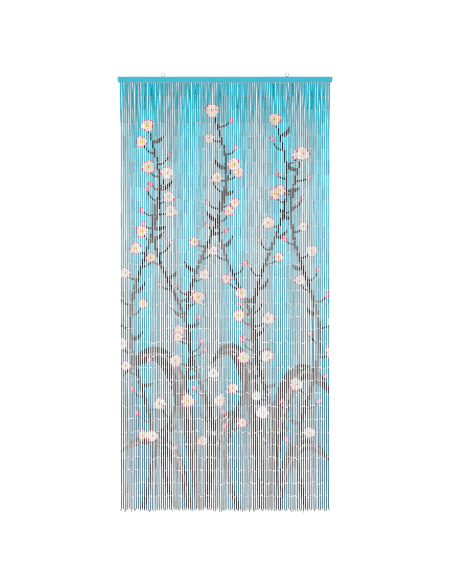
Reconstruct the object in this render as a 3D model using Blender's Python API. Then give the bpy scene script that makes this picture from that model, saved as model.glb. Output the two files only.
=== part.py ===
"""Bamboo door curtain: a painted wooden rail on two screw eyes, with a hundred strands of bamboo sticks.

Metres, +Z up, front towards -Y. The origin is midway between the two screw eyes, at the inside top of
their rings, where the hooks bear.
"""

import math
import random

import bmesh
import bpy
from mathutils import Vector

# Clearance between touching pieces.
GAP = 0.0003

# Screw eyes, whose rings stand on the rail's top edge.
EYE_WIRE = 0.0022
EYE_INNER_RADIUS = 0.0072
EYE_X = 0.288
EYE_SHANK_DEPTH = 0.012
EYE_BEND_RADIUS = 0.0013
EYE_BEND_STEPS = 4
EYE_RING_FROM = -76
EYE_RING_TO = 256
EYE_RING_STEPS = 22

# Wooden rail, a slat on edge whose ends are cut slightly inwards.
RAIL_LENGTH = 1.000
RAIL_HEIGHT = 0.027
RAIL_DEPTH = 0.014
RAIL_END_CANT = 0.003
RAIL_EDGE_RADIUS = 0.0012

# Strands of sticks. They spread a little wider where they leave the rail than where they hang.
STRANDS = 100
ROOT_PITCH = 0.00979
HANG_PITCH = 0.00971
STICKS = 33
TOP_STICKS = 4
TOP_STICK_PITCH = 0.0624
STICK_PITCH = 0.05965
STICK_PITCH_SPREAD = 0.0009
JOINT_HALF_GAP = 0.0025
ROOT_DROP = 0.0042
END_LOOP = 0.0078
WIRE_HALF_WIDTH = 0.0009
HANG_SEED = 7

# Stick diameter down the strand: (stick, diameter), with straight lines between the rows.
STICK_DIAMETERS = (
    (0, 0.0087),
    (1, 0.0084),
    (2, 0.0082),
    (3, 0.0080),
    (9, 0.0075),
    (14, 0.0069),
    (24, 0.0063),
    (32, 0.0056),
)

# How far a joint strays from its place: (joint, sideways at most, in depth). Below the last row it sways.
TOP_STRAY = (
    (0, 0.0012, 0.0),
    (1, 0.0018, 0.0022),
    (2, 0.0015, 0.0016),
    (3, 0.0009, 0.0008),
)
SWAY = 0.00045
SWAY_KEPT = 0.8

# Neighbours that swing together: (left strand, joint where they meet, sideways shift, joints to each side).
LEANING_PAIRS = (
    (91, 20, 0.0019, 4),
    (9, 27, -0.0011, 8),
    (18, 12, 0.0016, 5),
    (58, 7, 0.0015, 3),
    (74, 29, 0.0017, 4),
)

# Joints of the solid strand: necks at the upper ones, bends at the lower ones.
NECK_JOINTS = (1, 2)
BEND_JOINTS = (14, 20, 26)

# Backing strip that carries the strands' wires, let into a groove under the rail.
STRIP_DEPTH = 0.0024
STRIP_HEIGHT = 0.0024
ROOTS_IN_BLOCK = 10

ring_radius = EYE_INNER_RADIUS + EYE_WIRE / 2
ring_centre = -EYE_INNER_RADIUS
rail_top = ring_centre - ring_radius - EYE_WIRE / 2 - GAP
rail_bottom = rail_top - RAIL_HEIGHT


def clear_scene():
    for old in list(bpy.data.objects):
        bpy.data.objects.remove(old, do_unlink=True)


def make_material(name, colour, roughness, metallic=0.0):
    material = bpy.data.materials.new(name)
    material.use_nodes = True
    shader = material.node_tree.nodes["Principled BSDF"]
    shader.inputs["Base Color"].default_value = (*colour, 1.0)
    shader.inputs["Roughness"].default_value = roughness
    shader.inputs["Metallic"].default_value = metallic
    return material


def add_object(name, mesh, material=None):
    made = bpy.data.objects.new(name, mesh)
    bpy.context.scene.collection.objects.link(made)
    if material:
        made.data.materials.append(material)
    return made


def mesh_from(name, build):
    """A mesh object's data, made by build(bmesh)."""
    shape = bmesh.new()
    build(shape)
    bmesh.ops.recalc_face_normals(shape, faces=shape.faces)
    mesh = bpy.data.meshes.new(name)
    shape.to_mesh(mesh)
    shape.free()
    return mesh


def between(table, at):
    """The value at a place in a table of (place, value), with straight lines between its rows."""
    for (low, first), (high, second) in zip(table, table[1:]):
        if at <= high:
            share = max(0.0, (at - low) / (high - low))
            return first + (second - first) * share
    return table[-1][1]


def stick_radius(stick):
    return between(STICK_DIAMETERS, stick) / 2


def lean(strand, joint):
    """How far a leaning pair moves this joint of this strand sideways."""
    shift = 0.0
    for left, meeting, most, reach in LEANING_PAIRS:
        if strand in (left, left + 1):
            share = max(0.0, 1 - abs(joint - meeting) / reach)
            towards = 1 if strand == left else -1
            shift += towards * most * share * share * (3 - 2 * share)
    return shift


def hang_strand(strand, chance):
    """The joints of one strand, from its root under the rail to the end of its last stick."""
    from_middle = strand - (STRANDS - 1) / 2
    side = 1 if strand % 2 else -1
    joints = []
    height = rail_bottom
    sway_x = sway_y = 0.0
    for joint in range(STICKS + 1):
        if joint:
            pitch = TOP_STICK_PITCH if joint <= TOP_STICKS else STICK_PITCH
            height -= pitch + chance.uniform(-1, 1) * STICK_PITCH_SPREAD
        settled = min(1.0, joint / len(TOP_STRAY))
        x = from_middle * (ROOT_PITCH + (HANG_PITCH - ROOT_PITCH) * settled)
        draw_x, draw_y = chance.uniform(-1, 1), chance.uniform(-1, 1)
        if joint < len(TOP_STRAY):
            _, stray_x, stray_y = TOP_STRAY[joint]
            x += stray_x * draw_x
            y = side * stray_y
        else:
            sway_x = SWAY_KEPT * sway_x + SWAY * draw_x
            sway_y = SWAY_KEPT * sway_y + SWAY * draw_y
            x += sway_x + lean(strand, joint)
            y = sway_y
        joints.append(Vector((x, y, height)))
    return joints


def hang_curtain():
    """Every strand's joints. A stick that would cut its left neighbour is pushed clear of it."""
    chance = random.Random(HANG_SEED)
    strands = [hang_strand(strand, chance) for strand in range(STRANDS)]
    for left, right in zip(strands, strands[1:]):
        for joint in range(STICKS + 1):
            apart = 2 * stick_radius(max(0, joint - 1)) + GAP
            depth = abs(right[joint].y - left[joint].y)
            least = math.sqrt(max(0.0, apart * apart - depth * depth))
            right[joint].x = max(right[joint].x, left[joint].x + least)
    return strands


def rail_blank(shape):
    """The slat, longer at its top edge than at its bottom edge."""
    half_depth = RAIL_DEPTH / 2
    outline = (
        (-RAIL_LENGTH / 2, rail_top),
        (RAIL_LENGTH / 2, rail_top),
        (RAIL_LENGTH / 2 - RAIL_END_CANT, rail_bottom),
        (RAIL_END_CANT - RAIL_LENGTH / 2, rail_bottom),
    )
    front = shape.faces.new([shape.verts.new((x, -half_depth, z)) for x, z in outline])
    pushed = bmesh.ops.extrude_face_region(shape, geom=[front])
    moved = [v for v in pushed["geom"] if isinstance(v, bmesh.types.BMVert)]
    bmesh.ops.translate(shape, verts=moved, vec=(0, RAIL_DEPTH, 0))


def add_cutter(name, mesh, target):
    cutter = add_object(name, mesh)
    cutter.hide_render = True
    cutter.display_type = "WIRE"
    cut = target.modifiers.new(name, "BOOLEAN")
    cut.operation = "DIFFERENCE"
    cut.object = cutter


def make_rail(paint, strip_half_length):
    rail = add_object("rail", mesh_from("rail", rail_blank), paint)
    edges = rail.modifiers.new("eased_edges", "BEVEL")
    edges.width = RAIL_EDGE_RADIUS
    edges.segments = 2

    def groove(shape):
        size = (2 * strip_half_length + 2 * GAP, STRIP_DEPTH + 2 * GAP, 2 * (STRIP_HEIGHT + 2 * GAP))
        bmesh.ops.create_cube(shape, size=1.0)
        bmesh.ops.scale(shape, vec=size, verts=shape.verts)
        bmesh.ops.translate(shape, vec=(0, 0, rail_bottom), verts=shape.verts)

    def shank_hole(x):
        def drill(shape):
            radius = EYE_WIRE / 2 + GAP
            depth = EYE_SHANK_DEPTH + GAP
            bmesh.ops.create_cone(
                shape, cap_ends=True, segments=12, radius1=radius, radius2=radius, depth=2 * depth
            )
            bmesh.ops.translate(shape, vec=(x, 0, rail_top), verts=shape.verts)

        return drill

    add_cutter("strip_groove", mesh_from("strip_groove", groove), rail)
    for side, x in (("left", -EYE_X), ("right", EYE_X)):
        add_cutter(f"{side}_hole", mesh_from(f"{side}_hole", shank_hole(x)), rail)


def eye_route():
    """Centreline of a screw eye about its own axis: up the shank, through a tight bend and round the ring."""
    ring_bottom = ring_centre - ring_radius
    route = [(0.0, rail_top - EYE_SHANK_DEPTH)]
    for step in range(EYE_BEND_STEPS + 1):
        turn = math.pi / 2 * step / EYE_BEND_STEPS
        side = EYE_BEND_RADIUS * (1 - math.cos(turn))
        route.append((side, ring_bottom + EYE_BEND_RADIUS * (math.sin(turn) - 1)))
    for step in range(EYE_RING_STEPS + 1):
        turn = math.radians(EYE_RING_FROM + (EYE_RING_TO - EYE_RING_FROM) * step / EYE_RING_STEPS)
        route.append((ring_radius * math.cos(turn), ring_centre + ring_radius * math.sin(turn)))
    return route


def make_eye(name, x, metal):
    curve = bpy.data.curves.new(name, "CURVE")
    curve.dimensions = "3D"
    curve.bevel_depth = EYE_WIRE / 2
    curve.bevel_resolution = 2
    curve.use_fill_caps = True
    route = eye_route()
    wire = curve.splines.new("POLY")
    wire.points.add(len(route) - 1)
    for point, (side, height) in zip(wire.points, route):
        point.co = (side, 0, height, 1)
    curve.materials.append(metal)
    eye = bpy.data.objects.new(name, curve)
    eye.location.x = x
    bpy.context.scene.collection.objects.link(eye)


def add_ring(shape, centre, half_width):
    """Four corners of a strand's section: front, right, back and left."""
    corners = ((0, -1), (1, 0), (0, 1), (-1, 0))
    return [
        shape.verts.new((centre.x + half_width * x, centre.y + half_width * y, centre.z))
        for x, y in corners
    ]


def bridge(shape, upper, lower):
    """Side faces between two rings of four."""
    for side in range(4):
        following = (side + 1) % 4
        shape.faces.new((upper[side], upper[following], lower[following], lower[side]))


def strand_sections(joints):
    """(centre, half width) of each section of one strand, from the top of its first stick to its tip."""
    def along(joint, down):
        """A point this far below a joint, on the line to the next joint, or above it if down is negative."""
        other = joints[min(joint + 1, STICKS)] if down > 0 else joints[max(joint - 1, 0)]
        step = other - joints[joint]
        return joints[joint] + step * abs(down / step.z)

    sections = [(along(0, ROOT_DROP), stick_radius(0))]
    for joint in NECK_JOINTS:
        sections.append((along(joint, -JOINT_HALF_GAP), stick_radius(joint - 1)))
        sections.append((joints[joint], WIRE_HALF_WIDTH))
        sections.append((along(joint, JOINT_HALF_GAP), stick_radius(joint)))
    for joint in BEND_JOINTS:
        sections.append((joints[joint], stick_radius(joint)))
    end = joints[STICKS]
    sections.append((end, stick_radius(STICKS - 1)))
    sections.append((end - Vector((0, 0, END_LOOP)), WIRE_HALF_WIDTH))
    return sections


def strand_curtain(strands, half_length):
    """Builder of the backing strip with every strand fused to it by its root."""
    bottom, top = rail_bottom + GAP, rail_bottom + GAP + STRIP_HEIGHT
    front, back = -STRIP_DEPTH / 2, STRIP_DEPTH / 2

    def build(shape):
        chains = {y: [shape.verts.new((-half_length, y, bottom))] for y in (front, back)}
        for joints in strands:
            for x in (joints[0].x - WIRE_HALF_WIDTH, joints[0].x + WIRE_HALF_WIDTH):
                for y in (front, back):
                    chains[y].append(shape.verts.new((x, y, bottom)))
        for y in (front, back):
            chains[y].append(shape.verts.new((half_length, y, bottom)))
        front_chain, back_chain = chains[front], chains[back]

        for root in range(STRANDS + 1):
            left, right = 2 * root, 2 * root + 1
            shape.faces.new((front_chain[left], front_chain[right], back_chain[right], back_chain[left]))

        cuts = [0, *range(2 * ROOTS_IN_BLOCK, 2 * STRANDS, 2 * ROOTS_IN_BLOCK), len(front_chain) - 1]
        tops = {y: [shape.verts.new((chains[y][cut].co.x, y, top)) for cut in cuts] for y in chains}
        for block in range(len(cuts) - 1):
            first, last = cuts[block], cuts[block + 1]
            for y in (front, back):
                shape.faces.new((*chains[y][first : last + 1], tops[y][block + 1], tops[y][block]))
            shape.faces.new((*tops[front][block : block + 2], *reversed(tops[back][block : block + 2])))
        for end in (0, -1):
            shape.faces.new((front_chain[end], back_chain[end], tops[back][end], tops[front][end]))

        for strand, joints in enumerate(strands):
            left, right = 2 * strand + 1, 2 * strand + 2
            ring = [front_chain[left], front_chain[right], back_chain[right], back_chain[left]]
            for centre, half_width in strand_sections(joints):
                following = add_ring(shape, centre, half_width)
                bridge(shape, ring, following)
                ring = following
            shape.faces.new(ring)

    return build


def main():
    clear_scene()
    rail_paint = make_material("rail_paint", (0.045, 0.50, 0.67), 0.45)
    stick_paint = make_material("stick_paint", (0.05, 0.36, 0.45), 0.5)
    zinc = make_material("zinc_wire", (0.62, 0.63, 0.64), 0.35, 1.0)

    strands = hang_curtain()
    strip_half_length = STRANDS / 2 * ROOT_PITCH
    make_rail(rail_paint, strip_half_length)
    make_eye("eye_left", -EYE_X, zinc)
    make_eye("eye_right", EYE_X, zinc)
    add_object("strands", mesh_from("strands", strand_curtain(strands, strip_half_length)), stick_paint)


main()
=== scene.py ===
# Bamboo door curtain: strands of painted bamboo sticks hang from a painted slat with two screw eyes.
# Metres, +Z up, the painted front towards -Y. The origin is where the hooks bear in the screw eyes.

import math
import random

import bmesh
import bpy
import numpy as np
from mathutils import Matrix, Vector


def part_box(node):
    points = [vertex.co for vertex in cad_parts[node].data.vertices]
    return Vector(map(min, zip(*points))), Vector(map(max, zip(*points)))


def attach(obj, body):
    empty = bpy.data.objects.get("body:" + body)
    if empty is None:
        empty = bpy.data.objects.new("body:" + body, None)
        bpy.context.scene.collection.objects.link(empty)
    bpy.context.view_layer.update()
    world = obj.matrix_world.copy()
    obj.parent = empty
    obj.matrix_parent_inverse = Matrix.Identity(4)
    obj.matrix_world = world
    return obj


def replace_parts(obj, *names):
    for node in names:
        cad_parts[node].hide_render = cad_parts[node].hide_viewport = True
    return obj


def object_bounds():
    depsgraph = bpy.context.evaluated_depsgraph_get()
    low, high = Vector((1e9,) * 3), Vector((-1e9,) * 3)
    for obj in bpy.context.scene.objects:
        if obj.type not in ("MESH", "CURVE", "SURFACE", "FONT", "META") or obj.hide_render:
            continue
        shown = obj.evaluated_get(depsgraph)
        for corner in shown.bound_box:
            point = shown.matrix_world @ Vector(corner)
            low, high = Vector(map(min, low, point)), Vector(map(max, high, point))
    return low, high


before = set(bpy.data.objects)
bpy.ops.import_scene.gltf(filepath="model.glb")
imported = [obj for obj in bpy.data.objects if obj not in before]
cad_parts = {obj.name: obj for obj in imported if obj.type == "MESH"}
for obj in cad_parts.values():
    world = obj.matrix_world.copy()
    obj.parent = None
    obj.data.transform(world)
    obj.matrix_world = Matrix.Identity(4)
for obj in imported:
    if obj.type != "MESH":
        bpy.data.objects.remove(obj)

cad_box = [list(corner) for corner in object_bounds()]

# Rail
# A planed softwood slat set on edge, its ends sawn slightly inwards and its edges eased. It is brushed
# with turquoise paint, which is thin on the edges, where the wood shows through.

rail_low, rail_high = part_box("rail")
rail_top, rail_bottom = rail_high.z, rail_low.z
RAIL_END_CANT = 0.003
RAIL_EDGE_RADIUS = 0.0015
RAIL_EDGE_STEPS = 3
RAIL_WORN_BAND = 0.0012
RAIL_STATIONS = 60
RAIL_WANDER = 0.00018
RAIL_SHARP_ANGLE = math.radians(40)
TURQUOISE = (0.022, 0.415, 0.545)
PINE = (0.62, 0.43, 0.24)


def add(tree, kind, inputs=None, **settings):
    """A shader node with these settings, and with these values on its unlinked inputs."""
    made = tree.nodes.new(kind)
    for name, value in settings.items():
        setattr(made, name, value)
    for name, value in (inputs or {}).items():
        made.inputs[name].default_value = value
    return made


def link(tree, *links):
    """Links, each as (from node, output, to node, input)."""
    for source, output, target, socket in links:
        tree.links.new(source.outputs[output], target.inputs[socket])


def new_material(name, sockets):
    """A material, its tree and its Principled shader, with the sockets that are even all over it."""
    material = bpy.data.materials.new(name)
    material.use_nodes = True
    shader = material.node_tree.nodes["Principled BSDF"]
    for socket, value in sockets.items():
        shader.inputs[socket].default_value = value
    return material, material.node_tree, shader


def new_group(name, inputs, outputs):
    """An effect's tree and its ends, with inputs (name, kind, default) and outputs (name, kind)."""
    tree = bpy.data.node_groups.new(name, "ShaderNodeTree")
    for socket, kind, default in inputs:
        made = tree.interface.new_socket(socket, in_out="INPUT", socket_type="NodeSocket" + kind)
        made.default_value = default
    for socket, kind in outputs:
        tree.interface.new_socket(socket, in_out="OUTPUT", socket_type="NodeSocket" + kind)
    return tree, tree.nodes.new("NodeGroupInput"), tree.nodes.new("NodeGroupOutput")


def make_brushed_paint():
    """A coat of paint as the bristles leave it. Stretch is the streaks' scale along X, Y and Z."""
    tree, given, put = new_group(
        "brushed_paint",
        (
            ("Colour", "Color", (0.5, 0.5, 0.5, 1)),
            ("Stretch", "Vector", (100, 100, 10)),
            ("Streaks", "Float", 0.2),
            ("Clouds", "Float", 0.1),
        ),
        (("Colour", "Color"), ("Ridges", "Float")),
    )
    place = add(tree, "ShaderNodeTexCoord")
    spread = add(tree, "ShaderNodeVectorMath", operation="MULTIPLY")
    bristles = add(tree, "ShaderNodeTexNoise", {"Scale": 1.0, "Detail": 4.0, "Roughness": 0.65})
    cloud = add(tree, "ShaderNodeTexNoise", {"Scale": 11.0, "Detail": 2.0})
    streak = add(tree, "ShaderNodeMath", {1: 0.5}, operation="SUBTRACT")
    drift = add(tree, "ShaderNodeMath", {1: 0.5}, operation="SUBTRACT")
    streaked = add(tree, "ShaderNodeMath", {2: 1.0}, operation="MULTIPLY_ADD")
    drifted = add(tree, "ShaderNodeMath", operation="MULTIPLY_ADD")
    tone = add(tree, "ShaderNodeVectorMath", operation="SCALE")
    link(
        tree,
        (place, "Object", spread, 0),
        (given, "Stretch", spread, 1),
        (spread, "Vector", bristles, "Vector"),
        (place, "Object", cloud, "Vector"),
        (bristles, "Fac", streak, 0),
        (cloud, "Fac", drift, 0),
        (streak, "Value", streaked, 0),
        (given, "Streaks", streaked, 1),
        (drift, "Value", drifted, 0),
        (given, "Clouds", drifted, 1),
        (streaked, "Value", drifted, 2),
        (given, "Colour", tone, 0),
        (drifted, "Value", tone, "Scale"),
        (tone, "Vector", put, "Colour"),
        (bristles, "Fac", put, "Ridges"),
    )
    return tree


def make_worn_paint():
    """Paint chipped through to what is under it. Wear is 0 where it is sound and 1 along an edge."""
    tree, given, put = new_group(
        "worn_paint",
        (
            ("Paint", "Color", (0.5, 0.5, 0.5, 1)),
            ("Under", "Color", (0.6, 0.4, 0.2, 1)),
            ("Wear", "Float", 0.0),
            ("Grain", "Float", 400.0),
            ("Amount", "Float", 0.5),
        ),
        (("Colour", "Color"), ("Worn", "Float")),
    )
    place = add(tree, "ShaderNodeTexCoord")
    chips = add(tree, "ShaderNodeTexNoise", {"Detail": 3.0, "Roughness": 0.7})
    rubbed = add(tree, "ShaderNodeMath", operation="MULTIPLY_ADD")
    edge = add(tree, "ShaderNodeMapRange", {"From Min": 0.88, "From Max": 0.98})
    mixed = add(tree, "ShaderNodeMix", data_type="RGBA")
    link(
        tree,
        (place, "Object", chips, "Vector"),
        (given, "Grain", chips, "Scale"),
        (given, "Wear", rubbed, 0),
        (given, "Amount", rubbed, 1),
        (chips, "Fac", rubbed, 2),
        (rubbed, "Value", edge, "Value"),
        (edge, "Result", mixed, 0),
        (given, "Paint", mixed, 6),
        (given, "Under", mixed, 7),
        (mixed, 2, put, "Colour"),
        (edge, "Result", put, "Worn"),
    )
    return tree


brushed_paint = make_brushed_paint()
worn_paint = make_worn_paint()


def make_paint(name, specular, brushed, worn, roughness, chip, relief_depth):
    """A painted material, its tree, and its two effects: the coat and the chips in it."""
    material, tree, shader = new_material(name, {"Specular IOR Level": specular})
    coat = add(tree, "ShaderNodeGroup", brushed, node_tree=brushed_paint)
    chipped = add(tree, "ShaderNodeGroup", worn, node_tree=worn_paint)
    rough = add(tree, "ShaderNodeMapRange", {"To Min": roughness[0], "To Max": roughness[1]})
    height = add(tree, "ShaderNodeMath", {1: -chip}, operation="MULTIPLY_ADD")
    relief = add(tree, "ShaderNodeBump", {"Strength": 0.5, "Distance": relief_depth})
    link(
        tree,
        (coat, "Colour", chipped, "Paint"),
        (chipped, "Colour", shader, "Base Color"),
        (coat, "Ridges", rough, "Value"),
        (rough, "Result", shader, "Roughness"),
        (chipped, "Worn", height, 0),
        (coat, "Ridges", height, 2),
        (height, "Value", relief, "Height"),
        (relief, "Normal", shader, "Normal"),
    )
    return material, tree, coat, chipped


def make_slat_paint():
    material, tree, _, chipped = make_paint(
        "painted_slat",
        specular=0.3,
        brushed={"Colour": (*TURQUOISE, 1), "Stretch": (7, 340, 340), "Streaks": 0.2},
        worn={"Under": (*PINE, 1), "Grain": 420.0, "Amount": 0.24},
        roughness=(0.36, 0.60),
        chip=0.6,
        relief_depth=0.0002,
    )
    edge = add(tree, "ShaderNodeAttribute", attribute_name="edge")
    link(tree, (edge, "Fac", chipped, "Wear"))
    return material


def new_object(name, data):
    made = bpy.data.objects.new(name, data)
    bpy.context.scene.collection.objects.link(made)
    return made


def place_piece(name, shape, slot_name, *materials):
    """A finished piece of the curtain, which hangs as one body."""
    for material in materials:
        shape.materials.append(material)
    piece = new_object(name, shape)
    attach(piece, "root")
    return piece


def wander(x, slow, slow_start, quick, quick_start):
    """How far a planed face strays at x: a slow wave times a quick one, in radians a metre."""
    return RAIL_WANDER * math.sin(slow * x + slow_start) * math.sin(quick * x + quick_start)


def make_slat():
    """The slat: sawn, its edges eased, and cut across into stations that stray as planed wood does."""
    size = rail_high - rail_low
    half = size / 2
    wood = bmesh.new()
    bmesh.ops.create_cube(wood, size=1.0)
    bmesh.ops.scale(wood, vec=size, verts=wood.verts)
    for corner in wood.verts:
        if corner.co.z < 0:
            corner.co.x -= math.copysign(RAIL_END_CANT, corner.co.x)
    rounding = {"offset": RAIL_EDGE_RADIUS, "segments": RAIL_EDGE_STEPS, "affect": "EDGES"}
    bmesh.ops.bevel(wood, geom=wood.edges[:], **rounding)
    worn = RAIL_EDGE_RADIUS + RAIL_WORN_BAND
    cuts = [(axis, side * (half[axis] - worn)) for axis in (1, 2) for side in (-1, 1)]
    cuts += [(0, x) for x in np.linspace(worn - half.x, half.x - worn, RAIL_STATIONS)]
    for axis, at in cuts:
        normal = [float(axis == other) for other in range(3)]
        everything = wood.verts[:] + wood.edges[:] + wood.faces[:]
        point = [n * at for n in normal]
        bmesh.ops.bisect_plane(wood, geom=everything, plane_co=point, plane_no=normal)
    near = 1.01 * RAIL_EDGE_RADIUS
    on_edge = [
        float(sum(half[axis] - abs(point.co[axis]) < near for axis in range(3)) > 1)
        for point in wood.verts
    ]
    middle = (rail_low + rail_high) / 2
    for point in wood.verts:
        x = point.co.x
        point.co.y += wander(x, slow=5.1, slow_start=1.0, quick=17.0, quick_start=math.pi / 2)
        point.co.z += wander(x, slow=7.3, slow_start=0.0, quick=23.0, quick_start=2.0)
        point.co += middle
    mesh = bpy.data.meshes.new("slat")
    wood.to_mesh(mesh)
    wood.free()
    mesh.attributes.new("edge", "FLOAT", "POINT").data.foreach_set("value", on_edge)
    mesh.shade_smooth()
    mesh.set_sharp_from_angle(angle=RAIL_SHARP_ANGLE)
    return place_piece("slat", mesh, "rail_paint", make_slat_paint())


slat = make_slat()
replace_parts(slat, "rail")

# Screw eyes
# Two eyes of bright zinc-plated wire, turned into a nearly closed ring over a shank, screwed into the
# rail's top edge until the ring stands on the wood. The curtain hangs from them.

EYE_WIRE = 0.0022
EYE_INNER_RADIUS = 0.0072
EYE_SHANK_DEPTH = 0.012
EYE_BEND_RADIUS = 0.0013
EYE_RING_FROM = -76
EYE_RING_TO = 256
EYE_RING_STEPS = 60
EYE_BEND_STEPS = 8
EYE_SIDE_STEPS = 5
EYE_TIP_SHARE = 0.8
ZINC = (0.40, 0.41, 0.42)
DULL_ZINC = (0.16, 0.16, 0.16)


def make_dulled_zinc():
    """Zinc plating with duller, rougher patches where it has been handled."""
    tree, given, put = new_group(
        "dulled_zinc",
        (
            ("Bright", "Color", (0.66, 0.67, 0.68, 1)),
            ("Dull", "Color", (0.34, 0.34, 0.34, 1)),
            ("Patches", "Float", 300.0),
            ("Smoothest", "Float", 0.25),
            ("Roughest", "Float", 0.5),
        ),
        (("Colour", "Color"), ("Roughness", "Float"), ("Height", "Float")),
    )
    place = add(tree, "ShaderNodeTexCoord")
    patches = add(tree, "ShaderNodeTexNoise", {"Detail": 3.0, "Roughness": 0.6})
    spangle = add(tree, "ShaderNodeMapRange", {"From Min": 0.38, "From Max": 0.66})
    mixed = add(tree, "ShaderNodeMix", data_type="RGBA")
    rough = add(tree, "ShaderNodeMapRange")
    link(
        tree,
        (place, "Object", patches, "Vector"),
        (given, "Patches", patches, "Scale"),
        (patches, "Fac", spangle, "Value"),
        (spangle, "Result", mixed, 0),
        (given, "Bright", mixed, 6),
        (given, "Dull", mixed, 7),
        (spangle, "Result", rough, "Value"),
        (given, "Smoothest", rough, "To Min"),
        (given, "Roughest", rough, "To Max"),
        (mixed, 2, put, "Colour"),
        (rough, "Result", put, "Roughness"),
        (patches, "Fac", put, "Height"),
    )
    return tree


dulled_zinc = make_dulled_zinc()


def make_zinc(name, bright, dull, **surface):
    material, tree, shader = new_material(name, {"Metallic": 1.0})
    values = {"Bright": (*bright, 1), "Dull": (*dull, 1), **surface}
    plating = add(tree, "ShaderNodeGroup", values, node_tree=dulled_zinc)
    relief = add(tree, "ShaderNodeBump", {"Strength": 0.3, "Distance": 0.00005})
    link(
        tree,
        (plating, "Colour", shader, "Base Color"),
        (plating, "Roughness", shader, "Roughness"),
        (plating, "Height", relief, "Height"),
        (relief, "Normal", shader, "Normal"),
    )
    return material


def new_wire(name, wire, side_steps):
    """A curve to hold round wire."""
    curve = bpy.data.curves.new(name, "CURVE")
    curve.dimensions = "3D"
    curve.bevel_depth = wire / 2
    curve.bevel_resolution = side_steps
    curve.use_fill_caps = True
    return curve


def bend_wire(curve, route):
    """A length of wire in the curve, bent through the (x, z) points of its route."""
    bent = curve.splines.new("POLY")
    bent.points.add(len(route) - 1)
    for point, (x, z) in zip(bent.points, route):
        point.co = (x, 0, z, 1)
    return bent


def make_eye(node_name, metal):
    """An eye from the end of its shank up to the ring, and round to where the ring nearly closes."""
    low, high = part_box(node_name)
    ring_radius = EYE_INNER_RADIUS + EYE_WIRE / 2
    ring_x = (low.x + high.x) / 2
    ring_z = high.z - EYE_WIRE / 2 - ring_radius
    route = [(ring_x, rail_top - EYE_SHANK_DEPTH)]
    for step in range(EYE_BEND_STEPS + 1):
        turn = math.pi / 2 * step / EYE_BEND_STEPS
        side = EYE_BEND_RADIUS * (1 - math.cos(turn))
        route.append((ring_x + side, ring_z - ring_radius + EYE_BEND_RADIUS * (math.sin(turn) - 1)))
    for step in range(EYE_RING_STEPS + 1):
        turn = math.radians(EYE_RING_FROM + (EYE_RING_TO - EYE_RING_FROM) * step / EYE_RING_STEPS)
        route.append((ring_x + ring_radius * math.cos(turn), ring_z + ring_radius * math.sin(turn)))
    curve = new_wire(node_name + "_wire", EYE_WIRE, EYE_SIDE_STEPS)
    bend_wire(curve, route).points[-1].radius = EYE_TIP_SHARE
    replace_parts(place_piece(node_name + "_wire", curve, "zinc_wire", metal), node_name)


eye_zinc = make_zinc("eye_zinc", ZINC, DULL_ZINC, Patches=260.0, Smoothest=0.22, Roughest=0.42)
for eye_node in ("eye_left", "eye_right"):
    make_eye(eye_node, eye_zinc)

# Hanging strands
# A hundred strands of thirty-three sticks each hang side by side. The thick top sticks jostle, the
# thinner ones below hang nearly straight, and a few neighbours swing together.

STRANDS = 100
ROOT_PITCH = 0.00979
HANG_PITCH = 0.00971
STICKS = 33
TOP_STICKS = 4
TOP_STICK_PITCH = 0.0624
STICK_PITCH = 0.05965
STICK_PITCH_SPREAD = 0.0009
ROOT_DROP = 0.0028
CLEARANCE = 0.0003
HANG_SEED = 7
CUT_SEED = 8
SWAY = 0.00045
SWAY_KEPT = 0.8

# Stick diameter down the strand: (stick, diameter), with straight lines between the rows.
STICK_DIAMETERS = (
    (0, 0.0087),
    (1, 0.0084),
    (2, 0.0081),
    (3, 0.0078),
    (9, 0.0073),
    (14, 0.0067),
    (24, 0.0062),
    (32, 0.0056),
)

# Joint sizes down the strand: (joint, half the gap, half the link's width, its wire).
JOINT_SIZES = (
    (1, 0.0008, 0.0024, 0.0019),
    (3, 0.0007, 0.0021, 0.0017),
    (4, 0.0004, 0.0015, 0.0012),
    (12, 0.0005, 0.0013, 0.0011),
    (20, 0.0008, 0.0013, 0.0011),
)
JOINT_SLACK = 0.8
TOP_SLACK = 0.3
JOINT_TIGHTEST = 0.5
JOINT_LOOSEST = 3.2
UNEVEN_CUT = 0.0029
UNEVEN_KEPT = 0.8

# How far the top joints stray from their places, from the rail down: (sideways at most, in depth).
TOP_STRAY = (
    (0.0012, 0.0),
    (0.0018, 0.0022),
    (0.0015, 0.0016),
    (0.0009, 0.0008),
)

# Neighbours that swing together: (left strand, joint where they meet, shift, joints to each side).
LEANING_PAIRS = (
    (91, 20, 0.0019, 4),
    (9, 27, -0.0011, 8),
    (18, 12, 0.0016, 5),
    (58, 7, 0.0015, 3),
    (74, 29, 0.0017, 4),
)


def stick_radius(stick):
    return float(np.interp(stick, *zip(*STICK_DIAMETERS))) / 2


def joint_size(joint):
    """Half the gap between two sticks, half the link's width, and its wire."""
    at, *sizes = zip(*JOINT_SIZES)
    return [float(np.interp(joint, at, size)) for size in sizes]


def lean(strand, joint):
    """How far a leaning pair moves this joint of this strand sideways."""
    shift = 0.0
    for left, meeting, most, reach in LEANING_PAIRS:
        if strand in (left, left + 1):
            share = max(0.0, 1 - abs(joint - meeting) / reach)
            towards = 1 if strand == left else -1
            shift += towards * most * share * share * (3 - 2 * share)
    return shift


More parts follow.
